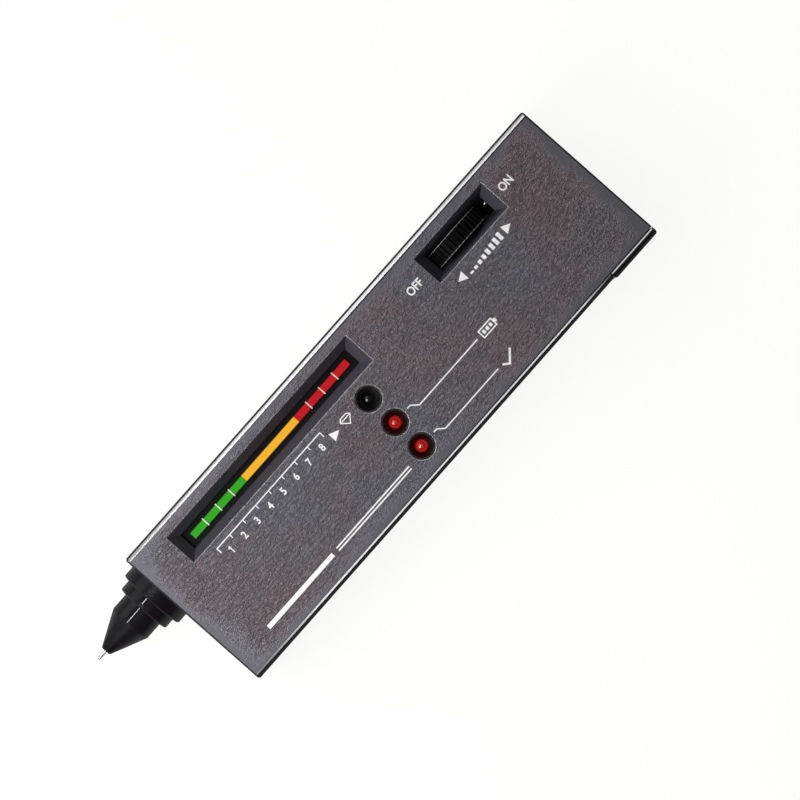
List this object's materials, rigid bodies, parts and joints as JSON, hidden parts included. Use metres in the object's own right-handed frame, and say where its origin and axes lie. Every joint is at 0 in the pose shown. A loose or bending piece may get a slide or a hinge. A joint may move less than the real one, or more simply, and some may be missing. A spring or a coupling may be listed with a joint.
{
  "type": "gemstone tester pen",
  "caption": "Handheld thermal gem tester: flat grained case with a needle probe in a stepped black nose, a bar lamp window, indicator cups, a volume thumbwheel and a sliding battery door.",
  "frame": {"origin": "centre of the case's flat back, on which the tester lies", "axes": "+X along the case to the battery end, so the needle points to -X; +Y to the long edge with the display window and the thumbwheel; +Z out of the face"},
  "size_m": [0.1566, 0.041, 0.0225],
  "materials": {
    "case_plastic": "matte",
    "black_plastic": "satin",
    "steel": "satin",
    "needle_metal": "polished",
    "heater_ceramic": "matte",
    "green_lamp": "gloss",
    "amber_lamp": "gloss",
    "red_lamp": "gloss",
    "inner_plastic": "matte",
    "white_plastic": "matte",
    "board_green": "satin",
    "chip_black": "matte",
    "trimmer_blue": "satin",
    "capacitor_film": "gloss",
    "resistor_body": "satin",
    "red_wire": "gloss",
    "black_wire": "gloss",
    "orange_wire": "gloss",
    "battery_can": "satin",
    "foam": "matte"
  },
  "bodies": {
    "case": {"front_shell": "case_plastic", "rear_shell": "case_plastic", "nose_bush": "black_plastic", "lock_ring": "black_plastic", "nose_cone": "black_plastic", "bar_lamp_holder": "black_plastic", "sounder_cup": "black_plastic", "battery_lamp_cup": "black_plastic", "ready_lamp_cup": "black_plastic", "sounder": "black_plastic", "battery_snap": "black_plastic", "case_screws": "steel", "board_screws": "steel", "probe_spring": "steel", "bar_lamp_leads": "steel", "indicator_lamp_leads": "steel", "volume_terminals": "steel", "volume_cover": "steel", "battery_terminals": "steel", "green_bar_lamps": "green_lamp", "amber_bar_lamps": "amber_lamp", "red_bar_lamps": "red_lamp", "battery_lamp": "red_lamp", "ready_lamp": "red_lamp", "spring_plug": "inner_plastic", "volume_case": "inner_plastic", "main_board": "board_green", "bar_driver_chip": "chip_black", "amplifier_chip": "chip_black", "transistors": "chip_black", "trimmer_body": "trimmer_blue", "capacitors": "capacitor_film", "resistors": "resistor_body", "red_lead": "red_wire", "black_lead": "black_wire", "probe_leads": "orange_wire", "battery_block": "battery_can", "battery_pad": "foam"},
    "volume_set": {"volume_wheel": "black_plastic", "wheel_screw": "steel", "volume_rotor": "white_plastic"},
    "probe_set": {"probe_needle": "needle_metal", "heater_sleeve": "heater_ceramic"},
    "door_set": {"battery_door": "case_plastic"},
    "trimmer_set": {"trimmer_screw": "white_plastic"}
  },
  "joints": [
    {"name": "volume_turn", "type": "hinge", "parent": "case", "child": "volume_set", "pos_m": [0.0367, 0.01235, 0.0135], "axis": [0, 1, 0], "range_deg": [-200, 80]},
    {"name": "needle_press", "type": "slide", "parent": "case", "child": "probe_set", "axis": [1, 0, 0], "range_m": [0, 0.001], "stiffness_N_per_m": 500, "springref_m": -0.002, "deforming": ["probe_spring"]},
    {"name": "battery_door_slide", "type": "slide", "parent": "case", "child": "door_set", "axis": [1, 0, 0], "range_m": [0, 0.055]},
    {"name": "trimmer_turn", "type": "hinge", "parent": "case", "child": "trimmer_set", "pos_m": [0.0041, -0.0064, 0.01095], "axis": [0, 0, 1], "range_deg": [-135, 135]}
  ]
}
